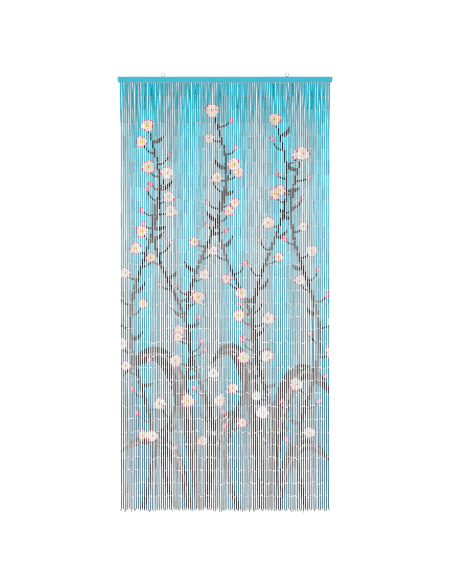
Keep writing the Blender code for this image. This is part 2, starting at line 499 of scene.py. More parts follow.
def hang_strand(strand, chance):
    """The joints of one strand, from its root under the rail to the end of its last stick."""
    from_middle = strand - (STRANDS - 1) / 2
    side = 1 if strand % 2 else -1
    joints = []
    height = rail_bottom
    sway_x = sway_y = 0.0
    for joint in range(STICKS + 1):
        if joint:
            pitch = TOP_STICK_PITCH if joint <= TOP_STICKS else STICK_PITCH
            height -= pitch + chance.uniform(-1, 1) * STICK_PITCH_SPREAD
        settled = min(1.0, joint / len(TOP_STRAY))
        x = from_middle * (ROOT_PITCH + (HANG_PITCH - ROOT_PITCH) * settled)
        draw_x, draw_y = chance.uniform(-1, 1), chance.uniform(-1, 1)
        if joint < len(TOP_STRAY):
            stray_x, stray_y = TOP_STRAY[joint]
            x += stray_x * draw_x
            y = side * stray_y
        else:
            sway_x = SWAY_KEPT * sway_x + SWAY * draw_x
            sway_y = SWAY_KEPT * sway_y + SWAY * draw_y
            x += sway_x + lean(strand, joint)
            y = sway_y
        joints.append((x, y, height))
    return joints


def hang_curtain():
    """Every strand's joints. A stick that would cut its left neighbour is pushed clear of it."""
    chance = random.Random(HANG_SEED)
    hung = np.array([hang_strand(strand, chance) for strand in range(STRANDS)])
    for strand in range(1, STRANDS):
        for joint in range(STICKS + 1):
            apart = 2 * stick_radius(max(0, joint - 1)) + CLEARANCE
            left, right = hung[strand - 1, joint], hung[strand, joint]
            least = math.sqrt(max(0.0, apart**2 - (right[1] - left[1]) ** 2))
            right[0] = max(right[0], left[0] + least)
    return hung


def open_joints():
    """Half the gap at every joint: most hooks are bent tight, and a few are left slack."""
    chance = np.random.default_rng(HANG_SEED)
    slack = np.exp(chance.normal(0.0, JOINT_SLACK, (STRANDS, STICKS)))
    slack[:, :TOP_STICKS] **= TOP_SLACK
    sizes = np.array([joint_size(joint)[0] for joint in range(STICKS)])
    return sizes * np.clip(slack, JOINT_TIGHTEST, JOINT_LOOSEST)


def uneven_heights():
    """How far each joint lies off its row: the sticks aren't cut to one length, and it adds up."""
    chance = np.random.default_rng(CUT_SEED)
    heights = chance.uniform(-UNEVEN_CUT, UNEVEN_CUT, (STRANDS, STICKS + 1))
    heights[:, [0, STICKS]] = 0.0
    for joint in range(2, STICKS):
        heights[:, joint] += UNEVEN_KEPT * heights[:, joint - 1]
    return heights


joints_of = hang_curtain()
joints_of[:, :, 2] += uneven_heights()
half_gaps = open_joints()

# Picture
# The sticks are laid side by side and painted by hand with one loose picture: broad dark leaves at the
# foot, thin stems up towards the rail, and round white flowers and pink buds on short stalks.

STICK_FLANK = 0.0018
PICTURE_ROW = 0.0005
PICTURE_HEIGHT = 2.03
GROUND, LEAF, LEAF_LIGHT, STEM, RIM, PETAL, BLUSH, YELLOW, ORANGE = range(9)
PAINTS = {
    LEAF: (48, 42, 43),
    LEAF_LIGHT: (122, 116, 116),
    STEM: (30, 25, 27),
    RIM: (194, 62, 100),
    PETAL: (211, 206, 200),
    BLUSH: (214, 160, 174),
    YELLOW: (226, 196, 84),
    ORANGE: (208, 124, 48),
}

# Ground paint, from turquoise at the rail to slate blue at the hem: (depth, red, green, blue).
GROUND_PAINT = (
    (0.00, 12, 172, 191),
    (0.12, 36, 178, 194),
    (0.50, 96, 184, 199),
    (0.75, 94, 180, 194),
    (1.00, 82, 166, 180),
    (1.42, 44, 147, 162),
    (1.50, 20, 123, 143),
    (2.03, 40, 114, 128),
)

# Broad leaves that arch out of two clumps: (foot, bend, its depth, tip, its depth, half width).
BROAD_LEAVES = (
    (-0.16, -0.22, 1.50, -0.49, 1.72, 0.030),
    (-0.12, -0.19, 0.98, -0.47, 1.36, 0.040),
    (-0.09, -0.06, 1.40, 0.11, 1.60, 0.034),
    (0.17, 0.14, 1.02, -0.06, 1.30, 0.038),
    (0.24, 0.29, 1.52, 0.49, 1.76, 0.030),
    (0.21, 0.24, 1.06, 0.50, 1.46, 0.042),
)
LEAF_EDGE = 0.0045
LEAF_STATIONS = 9
LEAF_FOOT_SHARE = 0.30
LEAF_TIP_SHARE = 0.1

# The lighter strokes along one half of a broad leaf.
LIGHT_FROM = 0.10
LIGHT_RUN = 0.80
LIGHT_ASIDE = 0.42
LIGHT_WIDTH = 0.22

# Stems: (foot, top, depth of the top, sway, side of the topmost stalk).
STEMS = (
    (-0.40, -0.36, 0.20, 0.062, 1),
    (-0.20, -0.27, 0.42, -0.075, -1),
    (-0.14, -0.06, 0.13, 0.080, 1),
    (0.09, 0.04, 0.38, -0.078, -1),
    (0.16, 0.23, 0.17, 0.070, 1),
    (0.40, 0.36, 0.33, -0.060, -1),
)
STEM_HALF_WIDTHS = (0.0115, 0.0085, 0.0045)
STEM_HALF_WAVES = 3.0
TOP_FLOWER_RADIUS = (0.032, 0.038)

# Stalks, each with what it bears.
STALK_KINDS = ("flower", "bud", "leaf", "flower", "bud", "flower", "leaf", "bud")
STALK_APART = (0.04704, 0.06944)
STALK_OUT = (0.046, 0.066)
STALK_UP = (0.012, 0.055)
STALK_BEND = (0.035, 0.006)
STALK_HALF_WIDTHS = (0.0052, 0.0034)
HIGHEST_STALK = 0.075
LOWEST_STALK = 1.72
SMALL_LEAF_HALF_WIDTHS = (0.0030, 0.0100, 0.0085, 0.0010)
FLOWER_RADIUS = (0.0250, 0.0350)
BUD_RADIUS = (0.0130, 0.0170)
BUD_TILT = (0.2, 0.9)
BUD_SLIMNESS = 0.62
BUD_HEART = 0.66

# A flower, as shares of its radius, but the width of its rim in metres.
PETALS = 8
PETAL_BASE = 0.78
PETAL_LOBE = 0.16
PETAL_BLUNTNESS = 0.7
PETAL_UNEVENNESS = 0.06
RIM_WIDTH = 0.0036
SEAM_WIDTH = 0.2
SEAM_FROM, SEAM_TO = 0.3, 0.66
YELLOW_SHARE, ORANGE_SHARE = 0.30, 0.15

STROKE_STEP = 0.25
PICTURE_SEED = 21

flat_x = (np.arange(STRANDS) - (STRANDS - 1) / 2) * HANG_PITCH
column_x = (flat_x[:, None] + np.array([-STICK_FLANK, 0, STICK_FLANK])).ravel()
row_depth = np.arange(int(PICTURE_HEIGHT / PICTURE_ROW)) * PICTURE_ROW
picture = np.zeros((len(row_depth), len(column_x)), np.uint8)


def dab(paint, x, depth, reach, shape):
    """Paints where shape(across, down) holds, within reach of a point."""
    left, right = np.searchsorted(column_x, (x - reach, x + reach))
    top, bottom = np.searchsorted(row_depth, (depth - reach, depth + reach))
    across = column_x[None, left:right] - x
    down = row_depth[top:bottom, None] - depth
    picture[top:bottom, left:right][shape(across, down)] = paint


def stroke(paint, curve, half_widths):
    """A stroke of the brush along curve(share), with half widths at even steps along it."""
    first, last = np.array(curve(0.0)), np.array(curve(1.0))
    dabs = int(np.hypot(*(last - first)) / (max(half_widths) * STROKE_STEP)) + 2
    steps = np.linspace(0, 1, len(half_widths))
    for share in np.linspace(0, 1, dabs):
        half = float(np.interp(share, steps, half_widths))
        x, depth = curve(share)
        dab(paint, x, depth, half, lambda across, down: across**2 + down**2 < half**2)


def arc(*points):
    """A smooth bend from the first of three points to the last, drawn towards the middle one."""

    def curve(share):
        rest = 1 - share
        weights = (rest * rest, 2 * rest * share, share * share)
        return tuple(sum(w * point[axis] for w, point in zip(weights, points)) for axis in (0, 1))

    return curve


def paint_flower(x, depth, radius, turn):
    """Uneven white petals with a pink rim, blushed where they meet, and a yellow and orange heart."""

    def petals(less, share=1.0):
        def shape(across, down):
            angle = np.arctan2(down, across) + turn
            uneven = PETAL_UNEVENNESS * np.sin(3 * angle + 5 * turn)
            lobe = PETAL_LOBE * np.abs(np.cos(PETALS / 2 * angle)) ** PETAL_BLUNTNESS
            return np.hypot(across, down) < radius * share * (PETAL_BASE + uneven + lobe) - less

        return shape

    def seams(across, down):
        angle = np.arctan2(down, across) + turn
        out = np.hypot(across, down) / radius
        return (np.abs(np.cos(PETALS / 2 * angle)) < SEAM_WIDTH) & (out > SEAM_FROM) & (out < SEAM_TO)

    dab(RIM, x, depth, radius, petals(0.0))
    dab(PETAL, x, depth, radius, petals(RIM_WIDTH))
    dab(BLUSH, x, depth, radius, seams)
    dab(YELLOW, x, depth, radius, petals(0.0, YELLOW_SHARE))
    dab(ORANGE, x, depth, radius, petals(0.0, ORANGE_SHARE))


def paint_bud(x, depth, radius, tilt):
    """A closed bud: a slim pink drop with a paler heart."""

    def drop(size):
        def shape(across, down):
            along = down * math.cos(tilt) + across * math.sin(tilt)
            aside = across * math.cos(tilt) - down * math.sin(tilt)
            return (along / (radius * size)) ** 2 + (aside / (BUD_SLIMNESS * radius * size)) ** 2 < 1

        return shape

    dab(RIM, x, depth, radius, drop(1.0))
    dab(BLUSH, x, depth, radius, drop(BUD_HEART))


def paint_stalk(kind, x, depth, side, chance):
    """A short stalk that leaves a stem sideways and upwards, with what it bears."""
    end = (x + side * chance.uniform(*STALK_OUT), depth - chance.uniform(*STALK_UP))
    middle = (x + side * STALK_BEND[0], depth + STALK_BEND[1])
    half_widths = SMALL_LEAF_HALF_WIDTHS if kind == "leaf" else STALK_HALF_WIDTHS
    stroke(STEM, arc((x, depth), middle, end), half_widths)
    if kind == "flower":
        paint_flower(*end, chance.uniform(*FLOWER_RADIUS), chance.uniform(0, 1))
    elif kind == "bud":
        paint_bud(*end, chance.uniform(*BUD_RADIUS), -side * chance.uniform(*BUD_TILT))


def half_blade(blade, half_width):
    """The course of the lighter strokes along one half of a broad leaf."""

    def curve(share):
        x, depth = blade(LIGHT_FROM + LIGHT_RUN * share)
        return x + LIGHT_ASIDE * half_width * math.sin(math.pi * share), depth

    return curve


def paint_picture():
    """The broad leaves, edged with ground paint, then the stems with their stalks and top flowers."""
    chance = random.Random(PICTURE_SEED)
    foot_depth = PICTURE_HEIGHT
    for foot, bend, bend_depth, tip, tip_depth, half_width in BROAD_LEAVES:
        blade = arc((foot, foot_depth), (bend, bend_depth), (tip, tip_depth))
        swell = np.sin(math.pi * np.linspace(0, 1, LEAF_STATIONS))
        half_widths = half_width * (LEAF_FOOT_SHARE + (1 - LEAF_FOOT_SHARE) * swell)
        half_widths[-1] = LEAF_TIP_SHARE * half_width
        stroke(GROUND, blade, half_widths + LEAF_EDGE)
        stroke(LEAF, blade, half_widths)
        stroke(LEAF_LIGHT, half_blade(blade, half_width), LIGHT_WIDTH * half_widths)
    stem_tops = []
    for foot, top, top_depth, sway, first_side in STEMS:

        def stem(share):
            depth = foot_depth + (top_depth - foot_depth) * share
            bend = sway * math.sin(STEM_HALF_WAVES * math.pi * share)
            return foot + (top - foot) * share + bend, depth

        stroke(STEM, stem, STEM_HALF_WIDTHS)
        stem_tops.append(stem(1.0))
        side, item = first_side, chance.randrange(len(STALK_KINDS))
        depth = top_depth + HIGHEST_STALK
        while depth < LOWEST_STALK:
            share = (foot_depth - depth) / (foot_depth - top_depth)
            paint_stalk(STALK_KINDS[item % len(STALK_KINDS)], *stem(share), side, chance)
            depth += chance.uniform(*STALK_APART)
            side, item = -side, item + 1
    for x, depth in stem_tops:
        paint_flower(x, depth, chance.uniform(*TOP_FLOWER_RADIUS), chance.uniform(0, 1))


paint_picture()

# Bamboo sticks
# Thin bamboo cut to finger length, so that every stick shows its bore and its cut ends, and some have
# a knuckle. The paint lies on the skin, is lost at the ends and knuckles, and changes at each stroke.
# Where it is lost, dark bamboo shows; near the ends this dark is also painted shade between the
# sticks.

SIDES = 8
BORE_SHARE = 0.52
BORE_DEPTH = 0.0016
END_EASE = 0.00028
END_EASE_LENGTH = 0.00045
STRANDS_IN_PIECE = 5
LEAST_BAND = 0.0016
RING_APART = 0.00025
SLANT_SEARCH = 0.0040
STICK_SHARP_ANGLE = math.radians(50)
THICKNESS = (0.94, 1.04)
MOST_TAPER = 0.05
MOST_BOW = (0.00015, 0.00035)
BOW_RING_FROM, BOW_RING_TO = 0.3, 0.7
KNUCKLE_SHARE = 0.30
KNUCKLE_PLACE = (0.2, 0.8)
KNUCKLE_RISE = 0.00030
KNUCKLE_LENGTH = 0.0018
BAMBOO = (0.64, 0.47, 0.26)
BAMBOO_FIBRE = (0.30, 0.19, 0.09)
# Bamboo bared where the paint wears off, darker than the sawn wood; near the ends it is also painted
# shade at the joints.
WORN_BAMBOO_AND_JOINT_SHADE = (0.26, 0.19, 0.12)
# Painted shade: the near-black colour of the shallow bore cones at the stick ends.
BORE_SHADE = (0.035, 0.022, 0.012)
STICK_TONE = (0.80, 1.18)
FADED_RED = (0.0, 0.05)
FADED_GREEN = (-0.03, 0.02)
PICTURE_TONE_SHARE = 0.5
STICK_SEED = 11
SKIN, CUT_END, BORE = range(3)

# The bake's map: its cells, their margins, and how long a cut end and the gap at a bore are in it.
MAP_COLUMNS = 24
MAP_ROWS = 7
MAP_SIDE_MARGIN = 0.04
MAP_END_MARGIN = 0.02
MAP_CUT_END = 0.00174
MAP_PAD = 0.0002


def linear(colour):
    """An 8-bit screen colour as linear light."""
    share = np.array(colour, float) / 255
    return np.where(share <= 0.04045, share / 12.92, ((share + 0.055) / 1.055) ** 2.4)


paint_colours = {paint: linear(colour) for paint, colour in PAINTS.items()}
ground_depths = [row[0] for row in GROUND_PAINT]
ground_colours = linear([row[1:] for row in GROUND_PAINT])


def ground_at(depth):
    return np.array([np.interp(depth, ground_depths, channel) for channel in ground_colours.T])


def bands_on(strand, upper, lower):
    """The bands of paint between two depths of a strand: their paints, and for each change of paint
    how far down it is at the stick's middle, and how much lower at its left and right flank."""
    top, bottom = np.searchsorted(row_depth, (upper, lower))
    middle = picture[top:bottom, 3 * strand + 1]
    changes, last = [], 0
    least = int(LEAST_BAND / PICTURE_ROW)
    for row in np.flatnonzero(np.diff(middle)) + 1:
        if row - last >= least and len(middle) - row >= least:
            changes.append(row)
            last = row
    limits = [0, *changes, len(middle)]
    paints = [int(middle[(a + b) // 2]) for a, b in zip(limits, limits[1:])]
    depths = []
    window = int(SLANT_SEARCH / PICTURE_ROW)
    for row, above, below in zip(changes, paints, paints[1:]):
        found = []
        for column in (3 * strand, 3 * strand + 2):
            start = max(0, top + row - window)
            flank = picture[start : top + row + window, column]
            meets = np.flatnonzero((flank[:-1] == above) & (flank[1:] == below)) + 1
            offsets = start + meets - top - row
            found.append(offsets[np.argmin(np.abs(offsets))] * PICTURE_ROW if len(meets) else 0.0)
        depths.append((row * PICTURE_ROW, found))
    return paints, depths


def stick_shape(strand, stick, chance):
    """One stick as rings of points from bore to bore, with the paint below each ring. A ring is
    (how far down the stick, how much lower on its flanks, whether it is a knuckle)."""
    upper, lower = joints_of[strand, stick], joints_of[strand, stick + 1]
    fall = upper[2] - lower[2]
    top_cut = ROOT_DROP if stick == 0 else half_gaps[strand, stick]
    bottom_cut = 0.0 if stick == STICKS - 1 else half_gaps[strand, stick + 1]
    top = upper + (lower - upper) * top_cut / fall
    bottom = lower + (upper - lower) * bottom_cut / fall
    length = top[2] - bottom[2]
    radius = stick_radius(stick) * chance.uniform(*THICKNESS)
    taper = chance.uniform(-MOST_TAPER, MOST_TAPER)
    bow = np.array([chance.uniform(-1, 1) * most for most in MOST_BOW])
    knuckle = chance.uniform(*KNUCKLE_PLACE) * length if chance.random() < KNUCKLE_SHARE else None
    tone = chance.uniform(*STICK_TONE)
    faded = np.array([chance.uniform(*FADED_RED), chance.uniform(*FADED_GREEN), 0.0])

    def radius_at(along):
        bump = 0.0
        if knuckle is not None:
            bump = KNUCKLE_RISE * np.maximum(0.0, 1 - np.abs(along - knuckle) / KNUCKLE_LENGTH)
        return radius * (1 + taper * (along / length - 0.5)) + bump

    depth = rail_bottom - top[2]
    paints, changes = bands_on(strand, depth, depth + length)
    level = (0.0, 0.0)
    rings = [(END_EASE_LENGTH, level, 0.0)]
    rings += [(down, slant, 0.0) for down, slant in changes]
    if knuckle is not None:
        rings += [(knuckle + k * KNUCKLE_LENGTH, level, float(k == 0)) for k in (-1, 0, 1)]
    if not any(BOW_RING_FROM * length < down < BOW_RING_TO * length for down, _, _ in rings):
        rings.append((length / 2, level, 0.0))
    rings.sort(key=lambda ring: ring[0])
    rings.append((length - END_EASE_LENGTH, level, 0.0))

    turn = 2 * math.pi * np.arange(SIDES) / SIDES
    cos, sin = np.cos(turn), np.sin(turn)
    flank = STICK_FLANK / radius
    along = np.array([
        middle + (left * np.maximum(0, -cos) + right * np.maximum(0, cos)) / flank
        for middle, (left, right), _ in rings
    ])
    for ring in range(1, len(along)):
        along[ring] = np.maximum(along[ring], along[ring - 1] + RING_APART)
    for ring in range(len(along) - 2, -1, -1):
        along[ring] = np.minimum(along[ring], along[ring + 1] - RING_APART)

    bore = np.full(SIDES, radius * BORE_SHARE)
    upper_rim, lower_rim = [np.full(SIDES, radius_at(at) - END_EASE) for at in (0.0, length)]
    levels = np.vstack([np.zeros((2, SIDES)), along, np.full((2, SIDES), length)])
    widths = np.vstack([bore, upper_rim, radius_at(along), lower_rim, bore])
    share = (levels / length)[:, :, None]
    centre = top + (bottom - top) * share
    centre[:, :, :2] += bow * np.sin(math.pi * share)
    points = centre + np.stack([widths * cos, widths * sin, np.zeros_like(widths)], axis=2)
    apexes = np.array([
        top + (bottom - top) * BORE_DEPTH / length,
        bottom + (top - bottom) * BORE_DEPTH / length,
    ])

    colours = []
    for down, _, _ in rings[:-1]:
        band = sum(change <= down for change, _ in changes)
        colours.append(band_colour(paints[band], depth + down, tone, faded))
    colours = [colours[0], colours[0], *colours, colours[-1], colours[-1]]
    knuckles = np.concatenate([[0, 0], [k for _, _, k in rings], [0, 0]])
    return points, apexes, np.array(colours), levels, length, knuckles


def band_colour(paint, depth, tone, faded):
    """The ground varies in full from stick to stick, and the picture's paints less."""
    if paint == GROUND:
        return ground_at(depth) * tone + faded
    return paint_colours[paint] * (1 - PICTURE_TONE_SHARE + PICTURE_TONE_SHARE * tone)


def stick_faces(points, apexes, colours, levels, length, knuckles, cell):
    """A stick's points and faces, numbered from 0, with the faces' places in the bake's map, their
    colours and their kinds, and each point's reach: how far from either end, and if on a knuckle."""
    rings = len(points)
    ring, side = np.meshgrid(np.arange(rings - 1), np.arange(SIDES), indexing="ij")
    beside = (side + 1) % SIDES
    here, below = ring * SIDES, (ring + 1) * SIDES
    quads = np.stack([here + side, below + side, below + beside, here + beside], axis=2).reshape(-1, 4)
    sides = np.arange(SIDES)
    after = (sides + 1) % SIDES
    last, apex = (rings - 1) * SIDES, rings * SIDES
    top_fan = np.stack([np.full(SIDES, apex), sides, after], axis=1)
    low_fan = np.stack([np.full(SIDES, apex + 1), last + after, last + sides], axis=1)

    # The stick is unrolled into its cell, bore to bore.
    flat = np.concatenate([[BORE_DEPTH], np.abs(np.diff(levels.mean(axis=1)))])
    flat[1] = flat[-1] = MAP_CUT_END
    run = np.cumsum(flat)
    run = (run + MAP_PAD) / (run[-1] + BORE_DEPTH + 2 * MAP_PAD)
    column, row = cell % MAP_COLUMNS, cell // MAP_COLUMNS

    def spot(across, down):
        across = (column + MAP_SIDE_MARGIN + (1 - 2 * MAP_SIDE_MARGIN) * across / SIDES) / MAP_COLUMNS
        down = 1 - (row + MAP_END_MARGIN + (1 - 2 * MAP_END_MARGIN) * down) / MAP_ROWS
        return np.stack(np.broadcast_arrays(across, down), axis=-1)

    low, high = run[ring], run[ring + 1]
    quad_map = np.stack(
        [spot(side, low), spot(side, high), spot(side + 1, high), spot(side + 1, low)], axis=2
    ).reshape(-1, 4, 2)
    top_map = [spot(sides + 0.5, 0.0), spot(sides, run[0]), spot(sides + 1, run[0])]
    low_map = [spot(sides + 0.5, 1.0), spot(sides + 1, run[-1]), spot(sides, run[-1])]

    kinds = np.full(rings - 1, SKIN)
    kinds[[0, -1]] = CUT_END
    reach = np.stack([levels.ravel(), length - levels.ravel(), np.repeat(knuckles, SIDES)], axis=1)
    return {
        "points": np.vstack([points.reshape(-1, 3), apexes]),
        "quads": quads,
        "fans": np.vstack([top_fan, low_fan]),
        "quad_map": quad_map,
        "fan_map": np.vstack([np.stack(top_map, axis=1), np.stack(low_map, axis=1)]),
        "quad_colours": np.repeat(colours, SIDES, axis=0),
        "fan_colours": np.repeat(colours[[0, -1]], SIDES, axis=0),
        "quad_kinds": np.repeat(kinds, SIDES),
        "reach": np.vstack([reach, np.zeros((2, 3))]),
    }


def make_painted_bamboo():
    """Paint on the bamboo's skin, chipped by the stick's ends and on its knuckle down to dark bamboo.
    Near the ends that dark is also painted shade between the sticks at the joints.
    """
    material, tree, coat, chipped = make_paint(
        "painted_bamboo",
        specular=0.15,
        brushed={"Stretch": (620, 620, 16), "Streaks": 1.15, "Clouds": 0.35},
        worn={"Under": (*WORN_BAMBOO_AND_JOINT_SHADE, 1), "Grain": 620.0, "Amount": 0.42},
        roughness=(0.50, 0.75),
        chip=0.8,
        relief_depth=0.00015,
    )
    paint = add(tree, "ShaderNodeAttribute", attribute_name="paint")
    reach = add(tree, "ShaderNodeAttribute", attribute_name="reach")
    parts = add(tree, "ShaderNodeSeparateXYZ")
    nearer = add(tree, "ShaderNodeMath", operation="MINIMUM")
    # The paint wears to dark bamboo within a few millimetres of either end: wear, and painted shade in
    # the joints.
    end_wear_and_shade = add(tree, "ShaderNodeMapRange", {"From Max": 0.0026, "To Min": 1.0, "To Max": 0.0})
    wear_and_shade = add(tree, "ShaderNodeMath", operation="MAXIMUM")
    link(
        tree,
        (reach, "Vector", parts, 0),
        (parts, "X", nearer, 0),
        (parts, "Y", nearer, 1),
        (nearer, "Value", end_wear_and_shade, "Value"),
        (end_wear_and_shade, "Result", wear_and_shade, 0),
        (parts, "Z", wear_and_shade, 1),
        (paint, "Color", coat, "Colour"),
        (wear_and_shade, "Value", chipped, "Wear"),
    )
    return material


def make_cut_bamboo():
    """The sawn end: pale, with dark fibre dots, and stained by paint that ran over it."""
    material, tree, shader = new_material("cut_bamboo", {"Specular IOR Level": 0.2})
    place = add(tree, "ShaderNodeTexCoord")
    fibres = add(tree, "ShaderNodeTexVoronoi", {"Scale": 2600.0})
    dots = add(tree, "ShaderNodeMapRange", {"From Min": 0.12, "From Max": 0.42})
    wood = add(tree, "ShaderNodeMix", {6: (*BAMBOO_FIBRE, 1), 7: (*BAMBOO, 1)}, data_type="RGBA")
    paint = add(tree, "ShaderNodeAttribute", attribute_name="paint")
    worn = {"Wear": 1.0, "Grain": 900.0, "Amount": 0.46}
    stained = add(tree, "ShaderNodeGroup", worn, node_tree=worn_paint)
    rough = add(tree, "ShaderNodeMapRange", {"To Min": 0.9, "To Max": 0.7})
    relief = add(tree, "ShaderNodeBump", {"Strength": 0.4, "Distance": 0.0001})
    link(
        tree,
        (place, "Object", fibres, "Vector"),
        (fibres, "Distance", dots, "Value"),
        (dots, "Result", wood, 0),
        (wood, 2, stained, "Under"),
        (paint, "Color", stained, "Paint"),
        (stained, "Colour", shader, "Base Color"),
        (dots, "Result", rough, "Value"),
        (rough, "Result", shader, "Roughness"),
        (dots, "Result", relief, "Height"),
        (relief, "Normal", shader, "Normal"),
    )
    return material


def make_bore():
    """The inside of a stick, painted near black as shade: the shallow cone stands in for a deep,
    shaded bore.
    """
    material, tree, shader = new_material("bamboo_bore", {"Roughness": 0.9, "Specular IOR Level": 0.1})
    brushed = {"Colour": (*BORE_SHADE, 1), "Stretch": (900, 900, 60), "Streaks": 0.8}
    coat = add(tree, "ShaderNodeGroup", brushed, node_tree=brushed_paint)
    link(tree, (coat, "Colour", shader, "Base Color"))
    return material


def mesh_of_sticks(name, shapes):
    """One mesh of the sticks in shapes, with their paint, their map for the bake and their reach."""

    def every(key):
        return np.concatenate([shape[key] for shape in shapes])

    starts = np.cumsum([0] + [len(shape["points"]) for shape in shapes])
    quads = np.vstack([shape["quads"] + start for shape, start in zip(shapes, starts)])
    fans = np.vstack([shape["fans"] + start for shape, start in zip(shapes, starts)])
    mesh = bpy.data.meshes.new(name)
    mesh.from_pydata(every("points").tolist(), [], quads.tolist() + fans.tolist())
    corner_map = np.concatenate([every("quad_map").ravel(), every("fan_map").ravel()])
    mesh.uv_layers.new(name="OFBake").data.foreach_set("uv", corner_map.astype(np.float32))
    colours = np.repeat(every("quad_colours"), 4, axis=0), np.repeat(every("fan_colours"), 3, axis=0)
    colours = np.pad(np.vstack(colours), ((0, 0), (0, 1)), constant_values=1.0).astype(np.float32)
    painted = mesh.color_attributes.new("paint", "FLOAT_COLOR", "CORNER")
    painted.data.foreach_set("color", colours.ravel())
    reach = mesh.attributes.new("reach", "FLOAT_VECTOR", "POINT")
    reach.data.foreach_set("vector", every("reach").astype(np.float32).ravel())
    kinds = np.concatenate([every("quad_kinds"), np.full(len(fans), BORE)])
    mesh.polygons.foreach_set("material_index", kinds.astype(np.int32))
    mesh.shade_smooth()
    mesh.set_sharp_from_angle(angle=STICK_SHARP_ANGLE)
    return mesh


stick_finishes = make_painted_bamboo(), make_cut_bamboo(), make_bore()
stick_chance = random.Random(STICK_SEED)
for first in range(0, STRANDS, STRANDS_IN_PIECE):
    shapes = []
    for strand in range(first, first + STRANDS_IN_PIECE):
        for stick in range(STICKS):
            shape = stick_shape(strand, stick, stick_chance)
            shapes.append(stick_faces(*shape, len(shapes)))
    name = f"sticks_{first + 1:03d}_{first + STRANDS_IN_PIECE:03d}"
    sticks = place_piece(name, mesh_of_sticks(name, shapes), "stick_paint", *stick_finishes)
    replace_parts(sticks, "strands")

# Wire links
# Soft steel wire runs through every stick and is turned into a small eye at each end. The eyes of two
# sticks hook into each other, and the topmost one hooks a staple in the rail.

LINK_IN_BORE = 0.0009
LINK_STEPS = 10
LINK_SIDES = 3
MOST_TURN = 0.5
STAPLE_DROP = 0.0021
STAPLE_WIRE = 0.0013
ROOT_EYE_HALF_WIDTH = 0.0016
ROOT_EYE_TURN = 1.3
STRANDS_IN_LINKS = 20
LINK_SEED = 5
MAP_EYE_MARGIN = 0.06
STEEL = (0.10, 0.095, 0.09)
DARK_STEEL = (0.030, 0.025, 0.022)


def wire_eye(top, bottom, half_width, wire, steps, sides, turn, tilt=0.0):
    """The points of an upright oval eye of wire between two heights, turned about Z and tilted."""
    half_height = (top[2] - bottom[2]) / 2
    around = 2 * math.pi * (np.arange(steps) + 0.5) / steps
    section = 2 * math.pi * np.arange(sides) / sides
    out = (half_width + wire / 2 * np.cos(section)) * np.sin(around)[:, None]
    up = (half_height + wire / 2 * np.cos(section)) * np.cos(around)[:, None]
    through = np.broadcast_to(wire / 2 * np.sin(section), out.shape)
    out = out + tilt * (up - half_height)
    middle = (top + bottom) / 2
    across = middle[0] + out * math.cos(turn) - through * math.sin(turn)
    deep = middle[1] + out * math.sin(turn) + through * math.cos(turn)
    return np.stack([across, deep, middle[2] + up], axis=2).reshape(-1, 3)


def mesh_of_eyes(name, eyes, steps, sides):
    """One mesh of wire eyes, each with a cell of its own in the bake's map."""
    step, side = np.meshgrid(np.arange(steps), np.arange(sides), indexing="ij")
    corners = (step, side), (step, side + 1), (step + 1, side + 1), (step + 1, side)
    faces = np.stack([s % steps * sides + t % sides for s, t in corners], axis=2).reshape(-1, 4)
    index = np.arange(len(eyes))
    quads = (faces[None] + steps * sides * index[:, None, None]).reshape(-1, 4)
    mesh = bpy.data.meshes.new(name)
    mesh.from_pydata(np.vstack(eyes).tolist(), [], quads.tolist())
    cells = math.ceil(math.sqrt(len(eyes)))
    one = np.stack([np.stack([s / steps, t / sides], axis=-1) for s, t in corners], axis=2)
    one = MAP_EYE_MARGIN + (1 - 2 * MAP_EYE_MARGIN) * one.reshape(-1, 2)
    corner = np.stack([index % cells, index // cells], axis=1)[:, None, :]
    places = ((one[None] + corner) / cells).astype(np.float32)
    mesh.uv_layers.new(name="OFBake").data.foreach_set("uv", places.ravel())
    mesh.shade_smooth()
    return mesh


def links_of(strand, chance):
    """Every eye that holds one strand together."""
    up = np.array([0, 0, 1.0])
    root, turn = joints_of[strand, 0], ROOT_EYE_TURN + chance.uniform(-MOST_TURN, MOST_TURN)
    top, bottom = root - up * (STAPLE_DROP - STAPLE_WIRE), root - up * (ROOT_DROP + LINK_IN_BORE)
    eyes = [wire_eye(top, bottom, ROOT_EYE_HALF_WIDTH, STAPLE_WIRE, LINK_STEPS, LINK_SIDES, turn)]
    for joint in range(1, STICKS):
        _, half_width, wire = joint_size(joint)
        shape = half_width, wire, LINK_STEPS, LINK_SIDES
        at, turn = joints_of[strand, joint], chance.uniform(-MOST_TURN, MOST_TURN)
        reach = half_gaps[strand, joint] + LINK_IN_BORE
        eyes.append(wire_eye(at + up * reach, at - up * wire / 2, *shape, turn))
        eyes.append(wire_eye(at + up * wire / 2, at - up * reach, *shape, turn + math.pi / 2))
    return eyes


link_steel = make_zinc("link_steel", STEEL, DARK_STEEL, Patches=420.0, Smoothest=0.30, Roughest=0.55)
link_chance = random.Random(LINK_SEED)
for first in range(0, STRANDS, STRANDS_IN_LINKS):
    eyes = []
    for strand in range(first, first + STRANDS_IN_LINKS):
        eyes += links_of(strand, link_chance)
    name = f"wire_links_{first + 1:03d}_{first + STRANDS_IN_LINKS:03d}"
    link_mesh = mesh_of_eyes(name, eyes, LINK_STEPS, LINK_SIDES)
    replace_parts(place_piece(name, link_mesh, "zinc_wire", link_steel), "strands")

# End loops
# The wire leaves the last stick of each strand in a loose oval loop, bent shut by hand, so no two are
# alike in size, turn or tilt.

END_LOOP_LENGTH = 0.0078
END_LOOP_HALF_WIDTH = 0.0023
END_LENGTH_SHARE = (0.8, 1.25)
END_WIDTH_SHARE = (0.8, 1.15)
MOST_END_TURN = 0.9
MOST_END_TILT = 0.7
END_WIRE = 0.0021
END_STEPS = 18
END_SIDES = 6
END_SEED = 5

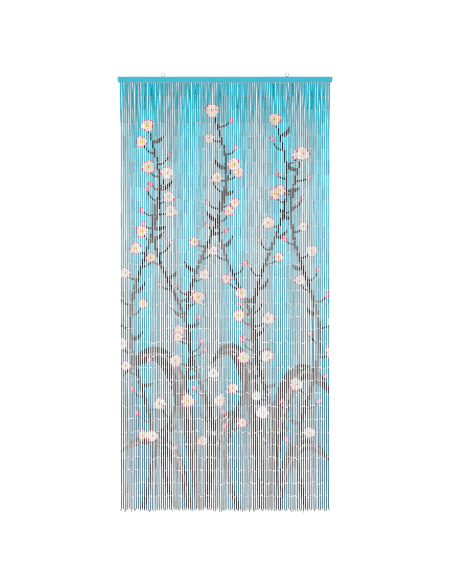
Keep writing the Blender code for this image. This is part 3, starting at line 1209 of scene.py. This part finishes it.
end_loops = []
end_chance = random.Random(END_SEED)
for strand in range(STRANDS):
    end = joints_of[strand, STICKS]
    tip = end - np.array([0, 0, END_LOOP_LENGTH * end_chance.uniform(*END_LENGTH_SHARE)])
    turn = end_chance.uniform(-MOST_END_TURN, MOST_END_TURN)
    tilt = end_chance.uniform(-MOST_END_TILT, MOST_END_TILT)
    half_width = END_LOOP_HALF_WIDTH * end_chance.uniform(*END_WIDTH_SHARE)
    end_loops.append(wire_eye(end, tip, half_width, END_WIRE, END_STEPS, END_SIDES, turn, tilt))
end_mesh = mesh_of_eyes("end_loops", end_loops, END_STEPS, END_SIDES)
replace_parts(place_piece("end_loops", end_mesh, "zinc_wire", link_steel), "strands")

# Staples
# A row of small wire staples driven into the rail's underside, one over each strand. Each is a U of
# the same steel as the links, with its legs in the wood.

STAPLE_HALF_WIDTH = 0.0020
STAPLE_LEG = 0.004
STAPLE_STEPS = 8
STAPLE_SIDE_STEPS = 1


def staple_route(x):
    """A U of wire: a leg in the wood, round under the rail, and the other leg."""
    straight = STAPLE_DROP - STAPLE_HALF_WIDTH
    route = [(x - STAPLE_HALF_WIDTH, rail_bottom + STAPLE_LEG)]
    for step in range(STAPLE_STEPS + 1):
        turn = math.pi * step / STAPLE_STEPS
        side = -STAPLE_HALF_WIDTH * math.cos(turn)
        route.append((x + side, rail_bottom - straight - STAPLE_HALF_WIDTH * math.sin(turn)))
    route.append((x + STAPLE_HALF_WIDTH, rail_bottom + STAPLE_LEG))
    return route


staples = new_wire("staples", STAPLE_WIRE, STAPLE_SIDE_STEPS)
for strand in range(STRANDS):
    bend_wire(staples, staple_route(joints_of[strand, 0, 0]))
place_piece("staples", staples, "zinc_wire", link_steel)

# Floor, light and camera
# A plain pale floor that runs off to the horizon, white light from all round with two softboxes in
# front, and a camera square on to the painted side, so far off that the strands stay parallel.

FLOOR_DROP = 0.06
FLOOR_REACH = 150.0
SOFTBOX_SIZE = 3.0
AIM_DROP = 1.0
METRES_PER_PIXEL = 1.0 / 215.3
PHOTO_HEIGHT_PIXELS = 584
RAIL_TOP_PIXEL = 76.75
RAIL_MIDDLE_PIXEL = 225.05
PHOTO_MIDDLE_PIXEL = (226.0, 292.0)
CAMERA_DISTANCE = 9.0
SENSOR = 36.0


def make_floor():
    material, tree, shader = new_material("pale_floor", {"Roughness": 0.9, "Emission Strength": 0.72})
    shader.inputs["Emission Color"].default_value = (1, 1, 1, 1)
    speckle = add(tree, "ShaderNodeTexNoise", {"Scale": 3.0})
    greys = {6: (0.29, 0.29, 0.29, 1), 7: (0.31, 0.31, 0.31, 1)}
    pale = add(tree, "ShaderNodeMix", greys, data_type="RGBA")
    link(tree, (speckle, "Fac", pale, 0), (pale, 2, shader, "Base Color"))
    floor_z = cad_box[0][2] - FLOOR_DROP
    corners = ((-1, -1), (1, -1), (1, 1), (-1, 1))
    points = [(x * FLOOR_REACH, y * FLOOR_REACH, floor_z) for x, y in corners]
    mesh = bpy.data.meshes.new("floor")
    mesh.from_pydata(points, [], [(0, 1, 2, 3)])
    mesh.materials.append(material)
    new_object("floor", mesh)


def add_softbox(name, power, place, target):
    """A square softbox that faces the target."""
    light = bpy.data.lights.new(name, "AREA")
    light.energy = power
    light.size = SOFTBOX_SIZE
    lamp = new_object(name, light)
    lamp.location = place
    across, deep, up = (to - at for to, at in zip(target, place))
    pitch = math.atan2(up, math.hypot(across, deep))
    lamp.rotation_euler = (pitch + math.pi / 2, 0, math.atan2(-across, deep))


make_floor()
aim_z = rail_top - AIM_DROP
add_softbox("key", power=42, place=(-2.6, -4.6, aim_z + 1.8), target=(0, 0, aim_z))
add_softbox("fill", power=12, place=(3.2, -4.2, aim_z + 0.6), target=(0, 0, aim_z))
world = bpy.data.worlds.new("studio")
world.use_nodes = True
sky = world.node_tree.nodes["Background"]
sky.inputs["Color"].default_value = (1, 1, 1, 1)
sky.inputs["Strength"].default_value = 1.03
bpy.context.scene.world = world
bpy.context.scene.view_settings.view_transform = "Standard"
bpy.context.scene.cycles.filter_width = 1.1

lens = bpy.data.cameras.new("camera")
camera = new_object("camera", lens)
bpy.context.scene.camera = camera
lens.sensor_fit = "VERTICAL"
lens.sensor_height = SENSOR
lens.lens = SENSOR * CAMERA_DISTANCE / (PHOTO_HEIGHT_PIXELS * METRES_PER_PIXEL)
camera.location = (
    (PHOTO_MIDDLE_PIXEL[0] - RAIL_MIDDLE_PIXEL) * METRES_PER_PIXEL,
    -CAMERA_DISTANCE,
    rail_top - (PHOTO_MIDDLE_PIXEL[1] - RAIL_TOP_PIXEL) * METRES_PER_PIXEL,
)
camera.rotation_euler = (math.pi / 2, 0, 0)
